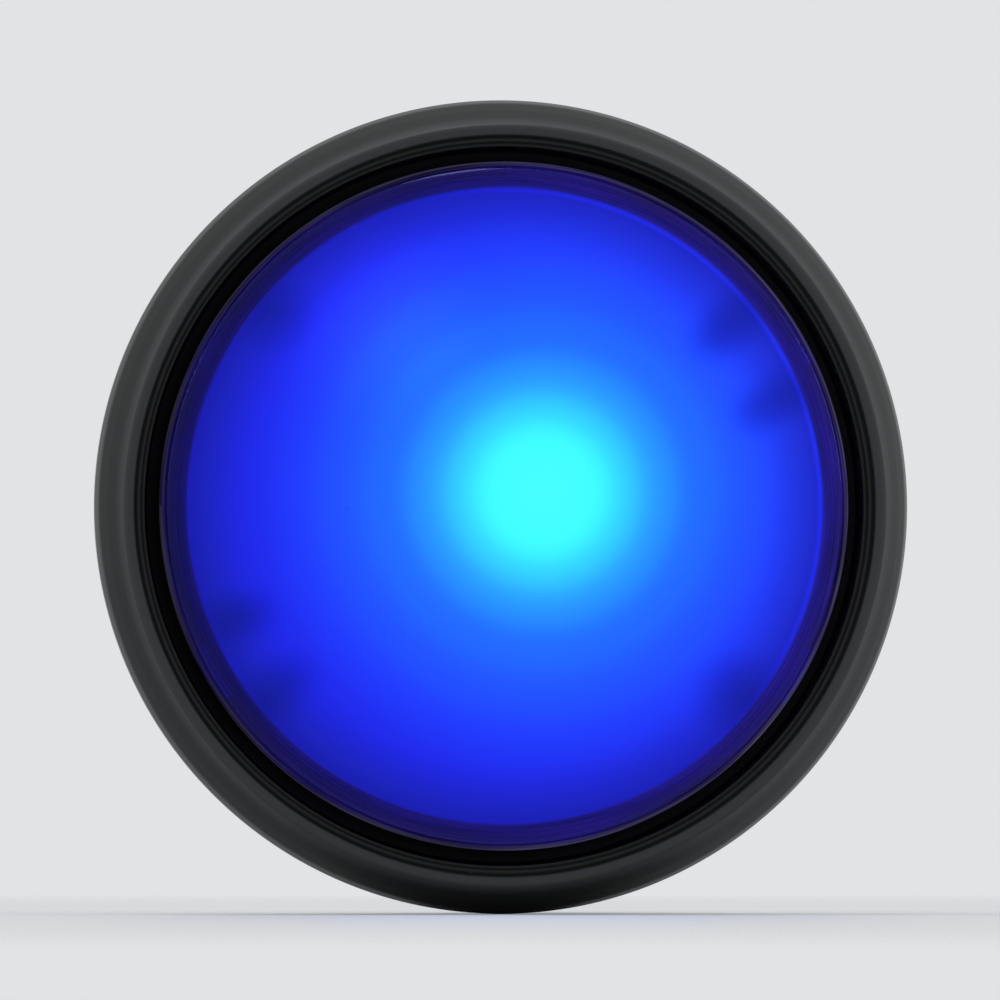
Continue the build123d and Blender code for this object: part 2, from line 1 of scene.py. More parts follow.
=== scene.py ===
import math

import bmesh
import bpy
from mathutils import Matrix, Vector


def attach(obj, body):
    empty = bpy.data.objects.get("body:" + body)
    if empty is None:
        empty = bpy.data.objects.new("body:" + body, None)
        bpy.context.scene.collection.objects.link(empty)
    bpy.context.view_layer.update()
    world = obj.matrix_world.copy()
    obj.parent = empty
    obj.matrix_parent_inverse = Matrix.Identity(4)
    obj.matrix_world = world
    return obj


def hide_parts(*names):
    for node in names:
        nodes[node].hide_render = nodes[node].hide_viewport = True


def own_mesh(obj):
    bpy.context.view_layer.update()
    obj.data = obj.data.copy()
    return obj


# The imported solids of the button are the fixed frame: the front faces -Y, +Z is up, and
# the origin is the centre of the flange's rear face. Sizes below are in millimetres.
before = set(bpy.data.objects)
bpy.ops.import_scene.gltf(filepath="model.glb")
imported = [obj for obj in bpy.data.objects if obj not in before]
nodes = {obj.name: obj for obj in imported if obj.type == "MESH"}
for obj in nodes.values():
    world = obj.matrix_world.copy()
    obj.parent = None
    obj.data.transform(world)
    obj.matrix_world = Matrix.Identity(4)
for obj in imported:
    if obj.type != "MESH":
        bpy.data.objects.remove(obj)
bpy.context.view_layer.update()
scene = bpy.context.scene
scene.view_settings.view_transform = "Standard"
MM = 0.001

# Bezel body: one black moulding with the flange ring, the stepped well round the lens, a
# ribbed underside and the neck. It is turned here from the same section as the solid, so
# that its ring is round and its edges carry their small moulded radii.
FLANGE_RADIUS = 49.98
RIM_INNER = 48.0
RIM_HEIGHT = 3.0
OUTER_SLOPE = [(49.55, 5.35, 6.0), (48.58, 7.8, 6.0), (47.55, 10.2, 6.0)]
LIP_CREST = 46.6
LIP_TOP = 12.49
LIP_INNER = 45.4
LIP_INNER_TOP = 11.94
UPPER_LEDGE = 11.19
LEDGE_RADIUS = 44.65
LOWER_LEDGE = 10.39
WELL_RADIUS = 44.1
WELL_FLOOR = 2.4
STEM_BORE = 10.4
SHELF_BORE = 9.05
SHELF_TOP = -13.94
SHELF_BOTTOM = -20.06
SPIGOT_BORE = 11.0
LOCK_RADIUS = 12.25
LOCK_TOP = -30.8
LOCK_BOTTOM = -33.2
NECK_END = -34.0
NECK_ROOT = 13.1
COLLAR_RADIUS = 13.9
COLLAR_END = -4.0
BOSS_RADIUS = 18.0
WEB_REAR = 0.9
WALL_INNER = 44.0
WALL_OUTER = 46.1
POCKET_TOP = 7.0
POCKET_OUTER = 46.65


def rounded(corners, steps=6):
    """Outline through (radius, height, fillet) corners, each fillet drawn as an arc."""
    outline = []
    count = len(corners)
    for index, (x, y, fillet) in enumerate(corners):
        here = Vector((x, y))
        if fillet <= 0:
            outline.append((x, y))
            continue
        before = Vector(corners[index - 1][:2]) - here
        after = Vector(corners[(index + 1) % count][:2]) - here
        before.normalize()
        after.normalize()
        half = before.angle(after) / 2
        reach = fillet / math.tan(half)
        centre = here + (before + after).normalized() * (fillet / math.sin(half))
        start = here + before * reach - centre
        end = here + after * reach - centre
        turn = start.angle_signed(end)
        for step in range(steps + 1):
            angle = -turn * step / steps
            outline.append((
                centre.x + start.x * math.cos(angle) - start.y * math.sin(angle),
                centre.y + start.x * math.sin(angle) + start.y * math.cos(angle),
            ))
    return outline


def turned(name, outline, segments=192, sharp=28.0):
    """A mesh turned about the press axis from a closed outline of (radius, height) points."""
    mesh = bpy.data.meshes.new(name)
    made = bmesh.new()
    rings = []
    for radius, height in outline:
        if radius < 1e-6:
            rings.append([made.verts.new((0.0, -height * MM, 0.0))])
            continue
        ring = []
        for step in range(segments):
            angle = 2 * math.pi * step / segments
            ring.append(made.verts.new((
                radius * math.cos(angle) * MM, -height * MM, radius * math.sin(angle) * MM)))
        rings.append(ring)
    for low, high in zip(rings, rings[1:] + rings[:1]):
        if len(low) == 1 and len(high) == 1:
            continue
        for step in range(segments):
            after = (step + 1) % segments
            if len(low) == 1:
                made.faces.new((low[0], high[step], high[after]))
            elif len(high) == 1:
                made.faces.new((low[step], low[after], high[0]))
            else:
                made.faces.new((low[step], low[after], high[after], high[step]))
    bmesh.ops.recalc_face_normals(made, faces=made.faces)
    made.to_mesh(mesh)
    made.free()
    for face in mesh.polygons:
        face.use_smooth = True
    mesh.set_sharp_from_angle(angle=math.radians(sharp))
    piece = bpy.data.objects.new(name, mesh)
    scene.collection.objects.link(piece)
    return piece


# The section's corners run from the lip down the well and the bore to the neck's end, and
# back up outside. Each has its radius, its height and its fillet.
bezel_outline = rounded([
    (LIP_CREST, LIP_TOP, 0.5), (LIP_INNER, LIP_INNER_TOP, 0.35), (LIP_INNER, UPPER_LEDGE, 0.0),
    (LEDGE_RADIUS, UPPER_LEDGE, 0.2), (LEDGE_RADIUS, LOWER_LEDGE, 0.0),
    (WELL_RADIUS, LOWER_LEDGE, 0.2), (WELL_RADIUS, WELL_FLOOR, 0.6),
    (STEM_BORE, WELL_FLOOR, 0.4), (STEM_BORE, SHELF_TOP, 0.0), (SHELF_BORE, SHELF_TOP, 0.0),
    (SHELF_BORE, SHELF_BOTTOM, 0.0), (SPIGOT_BORE, SHELF_BOTTOM, 0.0),
    (SPIGOT_BORE, LOCK_TOP, 0.0), (LOCK_RADIUS, LOCK_TOP, 0.0),
    (LOCK_RADIUS, LOCK_BOTTOM, 0.0), (SPIGOT_BORE, LOCK_BOTTOM, 0.0),
    (SPIGOT_BORE, NECK_END, 0.0), (NECK_ROOT, NECK_END, 0.45), (NECK_ROOT, COLLAR_END, 0.0),
    (COLLAR_RADIUS, COLLAR_END, 0.3), (COLLAR_RADIUS, 0.0, 0.0), (BOSS_RADIUS, 0.0, 0.2),
    (BOSS_RADIUS, WEB_REAR, 0.0), (WALL_INNER, WEB_REAR, 0.0), (WALL_INNER, 0.0, 0.2),
    (WALL_OUTER, 0.0, 0.2), (WALL_OUTER, POCKET_TOP, 0.3), (POCKET_OUTER, POCKET_TOP, 0.2),
    (RIM_INNER, RIM_HEIGHT, 0.3), (RIM_INNER, 0.0, 0.2), (FLANGE_RADIUS, 0.0, 0.3),
    (FLANGE_RADIUS, RIM_HEIGHT, 1.2), *OUTER_SLOPE,
])
bezel = turned("bezel_moulding", bezel_outline, segments=256, sharp=30.0)


def feed(tree, node, sockets):
    """Link each named input of a node to a socket, or give it a plain value."""
    for label, given in sockets.items():
        if isinstance(given, bpy.types.NodeSocket):
            tree.links.new(given, node.inputs[label])
        else:
            node.inputs[label].default_value = given


def add_node(tree, kind, sockets=None, **settings):
    """A new node with its settings made and its inputs fed."""
    node = tree.nodes.new(kind)
    for label, value in settings.items():
        setattr(node, label, value)
    feed(tree, node, sockets or {})
    return node


def maths(tree, operation, *inputs):
    """The result of a Math node on sockets and plain numbers."""
    node = add_node(tree, "ShaderNodeMath", dict(enumerate(inputs)), operation=operation)
    return node.outputs[0]


def vector_maths(tree, operation, *inputs, output="Vector"):
    """The result of a Vector Math node on sockets and plain vectors."""
    node = add_node(tree, "ShaderNodeVectorMath", dict(enumerate(inputs)), operation=operation)
    return node.outputs[output]


def span(tree, value, given, wanted=(0.0, 1.0), smooth=False):
    """A value moved from one span to another, straight or as a soft step."""
    node = add_node(tree, "ShaderNodeMapRange", {
        "Value": value, "From Min": given[0], "From Max": given[1],
        "To Min": wanted[0], "To Max": wanted[1]},
        interpolation_type="SMOOTHSTEP" if smooth else "LINEAR")
    return node.outputs["Result"]


def object_place(tree):
    """The Object coordinates."""
    return add_node(tree, "ShaderNodeTexCoord").outputs["Object"]


def value_group(name, inputs, outputs):
    """An empty shader node group with named sockets."""
    group = bpy.data.node_groups.new(name, "ShaderNodeTree")
    for label, kind, value in inputs:
        socket = group.interface.new_socket(label, in_out="INPUT", socket_type=kind)
        socket.default_value = value
    for label, kind in outputs:
        group.interface.new_socket(label, in_out="OUTPUT", socket_type=kind)
    return group, group.nodes.new("NodeGroupInput"), group.nodes.new("NodeGroupOutput")


# Moulded surface: a slow change of sheen, a fine grain and specks of dust, shared by
# every moulded plastic of the button.
FLOAT = "NodeSocketFloat"
COLOUR = "NodeSocketColor"
SHEEN_SCALE = 90.0
DUST_SCALE = 420.0
DUST_SIZE = 0.035
GRAIN_DEPTH = 0.1
moulded, surface_in, surface_out = value_group(
    "moulded_surface",
    [("Colour", COLOUR, (0.02, 0.02, 0.02, 1)), ("Dust Colour", COLOUR, (0.3, 0.3, 0.3, 1)),
     ("Roughness", FLOAT, 0.2), ("Roughness Swing", FLOAT, 0.05), ("Dust", FLOAT, 0.3),
     ("Grain Scale", FLOAT, 2500.0)],
    [("Colour", COLOUR), ("Roughness", FLOAT), ("Height", FLOAT)])
surface_place = object_place(moulded)
sheen_noise = add_node(moulded, "ShaderNodeTexNoise", {
    "Vector": surface_place, "Scale": SHEEN_SCALE, "Detail": 4.0})
grain_noise = add_node(moulded, "ShaderNodeTexNoise", {
    "Vector": surface_place, "Scale": surface_in.outputs["Grain Scale"], "Detail": 3.0})
dust_cell = add_node(moulded, "ShaderNodeTexVoronoi", {
    "Vector": surface_place, "Scale": DUST_SCALE})
dust_speck = maths(moulded, "LESS_THAN", dust_cell.outputs["Distance"], DUST_SIZE)
dusty_colour = add_node(moulded, "ShaderNodeMix", data_type="RGBA", sockets={
    "Factor": maths(moulded, "MULTIPLY", dust_speck, surface_in.outputs["Dust"]),
    "A": surface_in.outputs["Colour"], "B": surface_in.outputs["Dust Colour"]})
feed(moulded, surface_out, {
    "Colour": dusty_colour.outputs["Result"],
    "Roughness": maths(moulded, "MULTIPLY_ADD", sheen_noise.outputs["Fac"],
                       surface_in.outputs["Roughness Swing"], surface_in.outputs["Roughness"]),
    "Height": grain_noise.outputs["Fac"]})


def new_finish(name):
    """A new material with its node tree and its shader."""
    material = bpy.data.materials.new(name)
    material.use_nodes = True
    tree = material.node_tree
    return material, tree, tree.nodes["Principled BSDF"]


def moulded_plastic(name, colour, roughness, swing=0.06, dust=0.25, grain=2500.0, bump=0.05,
                    shine=0.5):
    """A plastic with the shared moulded surface."""
    material, tree, shader = new_finish(name)
    surface = add_node(tree, "ShaderNodeGroup", node_tree=moulded, name="surface", sockets={
        "Colour": (*colour, 1), "Roughness": roughness - swing / 2, "Roughness Swing": swing,
        "Dust": dust, "Grain Scale": grain})
    relief = add_node(tree, "ShaderNodeBump", {
        "Strength": bump, "Distance": GRAIN_DEPTH * MM, "Height": surface.outputs["Height"]})
    feed(tree, shader, {
        "Base Color": surface.outputs["Colour"], "Roughness": surface.outputs["Roughness"],
        "Normal": relief.outputs["Normal"], "Specular IOR Level": shine})
    return material


def distance_from(tree, point, reach):
    """A value that grows from 0 at a point of the disc to 1 at the given reach."""
    share = 1.0 / (reach * MM)
    shift = vector_maths(tree, "SUBTRACT", object_place(tree),
                         (point[0] * MM, 0.0, point[1] * MM))
    flat = vector_maths(tree, "MULTIPLY", shift, (share, 0.0, share))
    return vector_maths(tree, "LENGTH", flat, output="Value")


def ramp(tree, value, stops, interpolation="LINEAR"):
    """A colour ramp with its stops given as (position, colour)."""
    node = add_node(tree, "ShaderNodeValToRGB", {"Fac": value})
    node.color_ramp.interpolation = interpolation
    while len(node.color_ramp.elements) < len(stops):
        node.color_ramp.elements.new(0.5)
    for element, (position, tint) in zip(node.color_ramp.elements, stops):
        element.position = position
        element.color = (*tint, 1)
    return node.outputs["Color"]


# The front's painted light and shade by its share of the reach below: painted shade on the
# ledges with painted highlights along their two edges, a lip painted paler and an outer slope
# painted darker, which evens out how the lamps fall on them. Behind the front the moulding keeps
# its plain black.
PAINTED_LIGHT_REACH = 50.0
FRONT_FADE = 3.0
BEZEL_BLACK = (0.006, 0.0064, 0.0064)
LEDGE_PAINTED_SHADE = (0.004, 0.004, 0.0042)
BEZEL_PAINTED_LIGHT = [
    (0.880, LEDGE_PAINTED_SHADE), (0.884, (0.040, 0.042, 0.041)), (0.888, LEDGE_PAINTED_SHADE),
    (0.892, LEDGE_PAINTED_SHADE), (0.896, (0.042, 0.044, 0.043)), (0.900, LEDGE_PAINTED_SHADE),
    (0.906, LEDGE_PAINTED_SHADE), (0.911, (0.049, 0.052, 0.053)), (0.936, (0.047, 0.050, 0.0505)),
    (0.953, (0.013, 0.014, 0.0142)), (0.985, (0.011, 0.0117, 0.012))]
bezel_black = moulded_plastic("bezel_gloss_black", BEZEL_BLACK, 0.28, dust=0.1, shine=0.055)
bezel_tree = bezel_black.node_tree
bezel_apart = add_node(bezel_tree, "ShaderNodeSeparateXYZ", {"Vector": object_place(bezel_tree)})
bezel_painted_tone = add_node(bezel_tree, "ShaderNodeMix", data_type="RGBA", sockets={
    "Factor": span(bezel_tree, bezel_apart.outputs["Y"], (0.0, -FRONT_FADE * MM)),
    "A": (*BEZEL_BLACK, 1),
    "B": ramp(bezel_tree, distance_from(bezel_tree, (0, 0), PAINTED_LIGHT_REACH), BEZEL_PAINTED_LIGHT)})
feed(bezel_tree, bezel_tree.nodes["surface"], {"Colour": bezel_painted_tone.outputs["Result"]})
bezel.data.materials.append(bezel_black)
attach(bezel, "bezel")
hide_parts("bezel_body")

# Underside ribs: eight thin stiffeners moulded with the bezel, level with the rear of the
# flange, from the centre boss out to the rim.
RIB_COUNT = 8
RIB_FIRST = 22.5
RIB_INNER = 17.6
RIB_OUTER = 48.4
RIB_WIDTH = 1.8
RIB_DEPTH = 2.16
RIB_SIZES = {
    "Places": RIB_COUNT, "Middle Radius": (RIB_INNER + RIB_OUTER) / 2 * MM,
    "Block Size": ((RIB_OUTER - RIB_INNER) * MM, RIB_WIDTH * MM, RIB_DEPTH * MM)}
SIZE_SOCKETS = {int: "NodeSocketInt", float: FLOAT, tuple: "NodeSocketVector"}


def geometry_tree(name, sizes):
    """An empty Geometry Nodes tree with a named input for each size."""
    tree = bpy.data.node_groups.new(name, "GeometryNodeTree")
    for label, value in sizes.items():
        socket = tree.interface.new_socket(
            label, in_out="INPUT", socket_type=SIZE_SOCKETS[type(value)])
        socket.default_value = value
    tree.interface.new_socket("Geometry", in_out="OUTPUT", socket_type="NodeSocketGeometry")
    return tree, tree.nodes.new("NodeGroupInput"), tree.nodes.new("NodeGroupOutput")


def nodes_piece(name, tree, sizes):
    """A plain mesh piece from a Geometry Nodes tree, with its modifier taken off again."""
    blank = bpy.data.objects.new(name + "_blank", bpy.data.meshes.new(name + "_blank"))
    scene.collection.objects.link(blank)
    modifier = blank.modifiers.new("build", "NODES")
    modifier.node_group = tree
    for item in tree.interface.items_tree:
        if item.item_type == "SOCKET" and item.in_out == "INPUT":
            modifier[item.identifier] = sizes[item.name]
    depsgraph = bpy.context.evaluated_depsgraph_get()
    built = bpy.data.meshes.new_from_object(blank.evaluated_get(depsgraph))
    bpy.data.objects.remove(blank)
    built.name = name
    piece = bpy.data.objects.new(name, built)
    scene.collection.objects.link(piece)
    return piece


def finish_tree(tree, geometry, material, output, smooth=False):
    """Realize Instances, Set Shade Smooth and Set Material at the end of a tree."""
    real = add_node(tree, "GeometryNodeRealizeInstances", {"Geometry": geometry})
    shade = add_node(tree, "GeometryNodeSetShadeSmooth", {
        "Geometry": real.outputs["Geometry"], "Shade Smooth": smooth})
    paint = add_node(tree, "GeometryNodeSetMaterial", {
        "Geometry": shade.outputs["Geometry"], "Material": material})
    feed(tree, output, {"Geometry": paint.outputs["Geometry"]})


def set_round(tree, group_in, block, step, first, height):
    """A block at each place of a circle round the press axis, with its instances' node."""
    circle = add_node(tree, "GeometryNodeMeshCircle", {
        "Vertices": group_in.outputs["Places"], "Radius": group_in.outputs["Middle Radius"]})
    index = add_node(tree, "GeometryNodeInputIndex").outputs["Index"]
    turn = add_node(tree, "ShaderNodeCombineXYZ", {
        "Z": maths(tree, "MULTIPLY", index, math.radians(step))})
    copies = add_node(tree, "GeometryNodeInstanceOnPoints", {
        "Points": circle.outputs["Mesh"], "Instance": block, "Rotation": turn.outputs["Vector"]})
    stand = add_node(tree, "GeometryNodeTransform", {
        "Geometry": copies.outputs["Instances"],
        "Rotation": (math.radians(90.0), math.radians(-first), 0.0),
        "Translation": (0.0, -height * MM, 0.0)})
    return stand.outputs["Geometry"], copies


rib_tree, rib_in, rib_out = geometry_tree("underside_ribs", RIB_SIZES)
rib_block = add_node(rib_tree, "GeometryNodeMeshCube", {"Size": rib_in.outputs["Block Size"]})
rib_ring, _ = set_round(rib_tree, rib_in, rib_block.outputs["Mesh"],
                        360.0 / RIB_COUNT, RIB_FIRST, RIB_DEPTH / 2)
finish_tree(rib_tree, rib_ring, bezel_black, rib_out)
ribs = nodes_piece("bezel_ribs", rib_tree, RIB_SIZES)
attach(ribs, "bezel")

# Neck thread: a coarse right-hand thread moulded on the neck, from below the plain
# collar to the rear end. It is a ridge that follows a helix round the root.
THREAD_PITCH = 2.0
THREAD_CREST = 13.86
THREAD_START = -32.9
THREAD_END = -4.9
THREAD_SINK = 0.05
THREAD_STEPS = 72
RIDGE_FOOT = 1.5
RIDGE_CREST = 0.45
RIDGE_HEIGHT = 0.86
thread_length = THREAD_END - THREAD_START
thread_mid = (NECK_ROOT + THREAD_CREST) / 2 - THREAD_SINK
THREAD_SIZES = {
    "Turns": thread_length / THREAD_PITCH, "Radius": thread_mid * MM,
    "Length": thread_length * MM, "Ridge Foot": RIDGE_FOOT * MM,
    "Ridge Crest": RIDGE_CREST * MM, "Ridge Height": RIDGE_HEIGHT * MM}


def sweep_helix(tree, group_in, profile, resolution, low, upright=False):
    """A profile swept along a helix about the press axis, from the height low."""
    path = add_node(tree, "GeometryNodeCurveSpiral", {
        "Resolution": resolution, "Rotations": group_in.outputs["Turns"],
        "Start Radius": group_in.outputs["Radius"], "End Radius": group_in.outputs["Radius"],
        "Height": group_in.outputs["Length"]})
    curve = path.outputs["Curve"]
    if upright:
        curve = add_node(tree, "GeometryNodeSetCurveNormal", {"Curve": curve},
                         mode="Z_UP").outputs["Curve"]
    sweep = add_node(tree, "GeometryNodeCurveToMesh", {
        "Curve": curve, "Profile Curve": profile, "Fill Caps": True})
    lay = add_node(tree, "GeometryNodeTransform", {
        "Geometry": sweep.outputs["Mesh"], "Rotation": (math.radians(90.0), 0.0, 0.0),
        "Translation": (0.0, -low * MM, 0.0)})
    return lay.outputs["Geometry"]


thread_tree, thread_in, thread_out = geometry_tree("neck_thread", THREAD_SIZES)
thread_side = add_node(thread_tree, "GeometryNodeCurvePrimitiveQuadrilateral", {
    "Bottom Width": thread_in.outputs["Ridge Foot"],
    "Top Width": thread_in.outputs["Ridge Crest"],
    "Height": thread_in.outputs["Ridge Height"], "Offset": 0.0}, mode="TRAPEZOID")
thread_turn = add_node(thread_tree, "GeometryNodeTransform", {
    "Geometry": thread_side.outputs["Curve"], "Rotation": (0.0, 0.0, math.radians(90.0))})
thread_ridge = sweep_helix(thread_tree, thread_in, thread_turn.outputs["Geometry"],
                           THREAD_STEPS, THREAD_START, upright=True)
finish_tree(thread_tree, thread_ridge, bezel_black, thread_out)
thread = nodes_piece("neck_thread", thread_tree, THREAD_SIZES)
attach(thread, "bezel")

# Panel nut: a black moulded hexagon with a washer face. It runs on the neck thread and
# clamps the panel from behind.
nut_black = moulded_plastic("nut_satin_black", (0.013, 0.013, 0.014), 0.42, dust=0.2,
                            grain=1800.0, bump=0.12)


def dress(finishes):
    """Give each named solid its finish in place of the plain one that it comes with."""
    for node_name, finish in finishes.items():
        nodes[node_name].data.materials.clear()
        nodes[node_name].data.materials.append(finish)


dress({"panel_nut": nut_black})

# Dome lens: clear blue plastic, moulded as a spherical crown on a short skirt and
# polished. It is the face that the hand strikes, and it carries diffuser and carrier.
LENS_RADIUS = 42.2
LENS_EDGE = 11.39
LENS_WALL = 2.2
CROWN_HEIGHT = 14.0
CROWN_STEPS = 60
SHOULDER = 10.89
INNER_EDGE = SHOULDER + 0.3
SOCKET_RADIUS = 40.0
SKIRT_BOTTOM = 6.8
RIM_INSET = 0.62
RIM_ARC = [(41.86, 11.40), (42.05, 11.16), (42.16, 10.88), (LENS_RADIUS, 10.53)]
FOOT_ARC = [(LENS_RADIUS, SKIRT_BOTTOM + 0.4), (42.08, SKIRT_BOTTOM + 0.1), (41.8, SKIRT_BOTTOM)]
crown_radius = (LENS_RADIUS**2 + CROWN_HEIGHT**2) / (2 * CROWN_HEIGHT)
crown_centre = LENS_EDGE + CROWN_HEIGHT - crown_radius
inner_crown = crown_radius - LENS_WALL
inner_radius = math.sqrt(inner_crown**2 - (INNER_EDGE - crown_centre) ** 2)


def crown_arc(radius, reach):
    """Points of a crown from its middle out to the given reach."""
    whole = math.asin(reach / radius)
    arc = []
    for step in range(CROWN_STEPS + 1):
        turn = whole * step / CROWN_STEPS
        arc.append((radius * math.sin(turn), crown_centre + radius * math.cos(turn)))
    return arc


lens = turned("lens_dome", [
    *crown_arc(crown_radius, LENS_RADIUS - RIM_INSET), *RIM_ARC, *FOOT_ARC,
    (SOCKET_RADIUS, SKIRT_BOTTOM), (SOCKET_RADIUS, SHOULDER), (inner_radius, SHOULDER),
    *reversed(crown_arc(inner_crown, inner_radius))], segments=256, sharp=40.0)
# The edge beyond the lit disc is painted a deep violet shade, and its glow is painted in the
# emission: fine rings of painted light that break up along the edge, more of it on the right,
# where the lamp leans, and a painted highlight on the rim's outer edge.
LENS_TINT_AND_SHADE = [(0.915, (0.30, 0.42, 1.0)), (0.935, (0.05, 0.04, 0.42))]
EDGE_PAINTED_GLOW = [
    (0.915, (0.0, 0.0, 0.0)), (0.925, (0.004, 0.001, 0.045)), (0.965, (0.0035, 0.001, 0.030)),
    (0.985, (0.004, 0.0022, 0.018)), (0.993, (0.020, 0.018, 0.022))]
RING_SCALE = (230.0, 2.5, 1.0)
RING_LEVELS = (0.0, 2.6)
SIDE_LEVELS = (0.5, 1.4)
lens_blue, lens_tree, lens_shader = new_finish("lens_clear_blue")
lens_reach = distance_from(lens_tree, (0, 0), LENS_RADIUS)
lens_apart = add_node(lens_tree, "ShaderNodeSeparateXYZ", {"Vector": object_place(lens_tree)})
lens_round = add_node(lens_tree, "ShaderNodeCombineXYZ", {
    "X": lens_reach,
    "Y": maths(lens_tree, "ARCTAN2", lens_apart.outputs["Z"], lens_apart.outputs["X"])})
lens_rings = add_node(lens_tree, "ShaderNodeTexNoise", {
    "Vector": vector_maths(lens_tree, "MULTIPLY", lens_round.outputs["Vector"], RING_SCALE),
    "Scale": 1.0, "Detail": 2.0})
lens_level = span(lens_tree, lens_rings.outputs["Fac"], (0.3, 0.7), RING_LEVELS)
lens_side = span(lens_tree, lens_apart.outputs["X"],
                 (-LENS_RADIUS * MM, LENS_RADIUS * MM), SIDE_LEVELS)
lens_painted_glow = add_node(lens_tree, "ShaderNodeVectorMath", {
    0: ramp(lens_tree, lens_reach, EDGE_PAINTED_GLOW),
    "Scale": maths(lens_tree, "MULTIPLY", lens_level, lens_side)}, operation="SCALE")
feed(lens_tree, lens_shader, {
    "Base Color": ramp(lens_tree, lens_reach, LENS_TINT_AND_SHADE), "Roughness": 0.0, "IOR": 1.49,
    "Specular Tint": (0.10, 0.14, 0.6, 1), "Transmission Weight": 1.0,
    "Emission Color": lens_painted_glow.outputs["Vector"], "Emission Strength": 1.0})
lens.data.materials.append(lens_blue)
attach(lens, "dome")
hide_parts("dome_lens")

# Lens hooks: four wedges moulded inside the lens's skirt, two at each side, which snap
# under the carrier's rim. Their rear inner edge is cut back as a lead-in.
HOOK_PLACES = 6
HOOK_FIRST = 30.0
HOOK_INNER = 37.5
HOOK_OUTER = 40.3
HOOK_WIDTH = 7.0
HOOK_TOP = 8.2
HOOK_LEAD = 0.8
hook_size = Vector((HOOK_OUTER - HOOK_INNER, HOOK_WIDTH, HOOK_TOP - SKIRT_BOTTOM)) * MM
HOOK_SIZES = {
    "Places": HOOK_PLACES, "Middle Radius": (HOOK_INNER + HOOK_OUTER) / 2 * MM,
    "Block Size": tuple(hook_size), "Lead": HOOK_LEAD * MM}
hook_tree, hook_in, hook_out = geometry_tree("lens_hooks", HOOK_SIZES)
hook_block = add_node(hook_tree, "GeometryNodeMeshCube", {"Size": hook_in.outputs["Block Size"]})
hook_place = add_node(hook_tree, "GeometryNodeInputPosition").outputs["Position"]
hook_apart = add_node(hook_tree, "ShaderNodeSeparateXYZ", {"Vector": hook_place})
hook_corner = maths(hook_tree, "ADD", hook_apart.outputs["X"], hook_apart.outputs["Z"])
hook_lead = add_node(hook_tree, "ShaderNodeCombineXYZ", {"X": hook_in.outputs["Lead"]})
hook_wedge = add_node(hook_tree, "GeometryNodeSetPosition", {
    "Geometry": hook_block.outputs["Mesh"],
    "Selection": maths(hook_tree, "LESS_THAN", hook_corner, -hook_size.x / 2),
    "Offset": hook_lead.outputs["Vector"]})
hook_ring, hook_copies = set_round(
    hook_tree, hook_in, hook_wedge.outputs["Geometry"], 360.0 / HOOK_PLACES, HOOK_FIRST,
    (HOOK_TOP + SKIRT_BOTTOM) / 2)
# The place at the top and the one at the bottom stay empty.
hook_index = add_node(hook_tree, "GeometryNodeInputIndex").outputs["Index"]
hook_used = add_node(hook_tree, "FunctionNodeCompare", {
    "A": maths(hook_tree, "MODULO", hook_index, HOOK_PLACES / 2), "B": 1.0},
    operation="NOT_EQUAL")
feed(hook_tree, hook_copies, {"Selection": hook_used.outputs["Result"]})
finish_tree(hook_tree, hook_ring, lens_blue, hook_out)
hooks = nodes_piece("lens_hooks", hook_tree, HOOK_SIZES)
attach(hooks, "dome")

# Diffuser: a flat opal disc behind the lens. The lamp's light on it is painted in its emission:
# a painted glow brightest where the leaning lamp points, falling off to a deep blue at the rim,
# with painted soft shadows of the hooks and arms behind it.
DIFFUSER_RADIUS = 39.7
DIFFUSER_BOTTOM = 9.67
DIFFUSER_TOP = 10.87
DIFFUSER_FILLET = 0.25
diffuser = turned("diffuser_disc", rounded([
    (0.0, DIFFUSER_TOP, 0), (DIFFUSER_RADIUS, DIFFUSER_TOP, DIFFUSER_FILLET),
    (DIFFUSER_RADIUS, DIFFUSER_BOTTOM, DIFFUSER_FILLET), (0.0, DIFFUSER_BOTTOM, 0)]))
opal, opal_tree, opal_shader = new_finish("diffuser_lit_opal")
HOT_SPOT = (4.6, 1.7)
GLOW_REACH = 42.0
GLOW_STRENGTH = 2.8
GLOW_STOPS = [
    (0.00, (0.0679, 1.0, 0.571)), (0.12, (0.0607, 0.911, 0.536)),
    (0.20, (0.0429, 0.679, 0.500)), (0.29, (0.0268, 0.375, 0.471)),
    (0.40, (0.0161, 0.168, 0.457)), (0.52, (0.0136, 0.0929, 0.429)),
    (0.66, (0.0129, 0.0446, 0.357)), (0.80, (0.0114, 0.0157, 0.293)),
    (1.00, (0.0093, 0.0064, 0.214))]
glow = ramp(opal_tree, distance_from(opal_tree, HOT_SPOT, GLOW_REACH), GLOW_STOPS, "CARDINAL")
hook_shadow, shadow_in, shadow_out = value_group(
    "hook_shadow",
    [("Centre", "NodeSocketVector", (0.0, 0.0, 0.0)), ("Spread", FLOAT, 0.005),
     ("Depth", FLOAT, 0.7)], [("Shade", FLOAT)])
shadow_flat = vector_maths(hook_shadow, "MULTIPLY", object_place(hook_shadow), (1.0, 0.0, 1.0))
shadow_far = vector_maths(hook_shadow, "DISTANCE", shadow_flat, shadow_in.outputs["Centre"],
                          output="Value")
feed(hook_shadow, shadow_out, {"Shade": span(
    hook_shadow, shadow_far, (0.0, shadow_in.outputs["Spread"]),
    (shadow_in.outputs["Depth"], 1.0), smooth=True)})
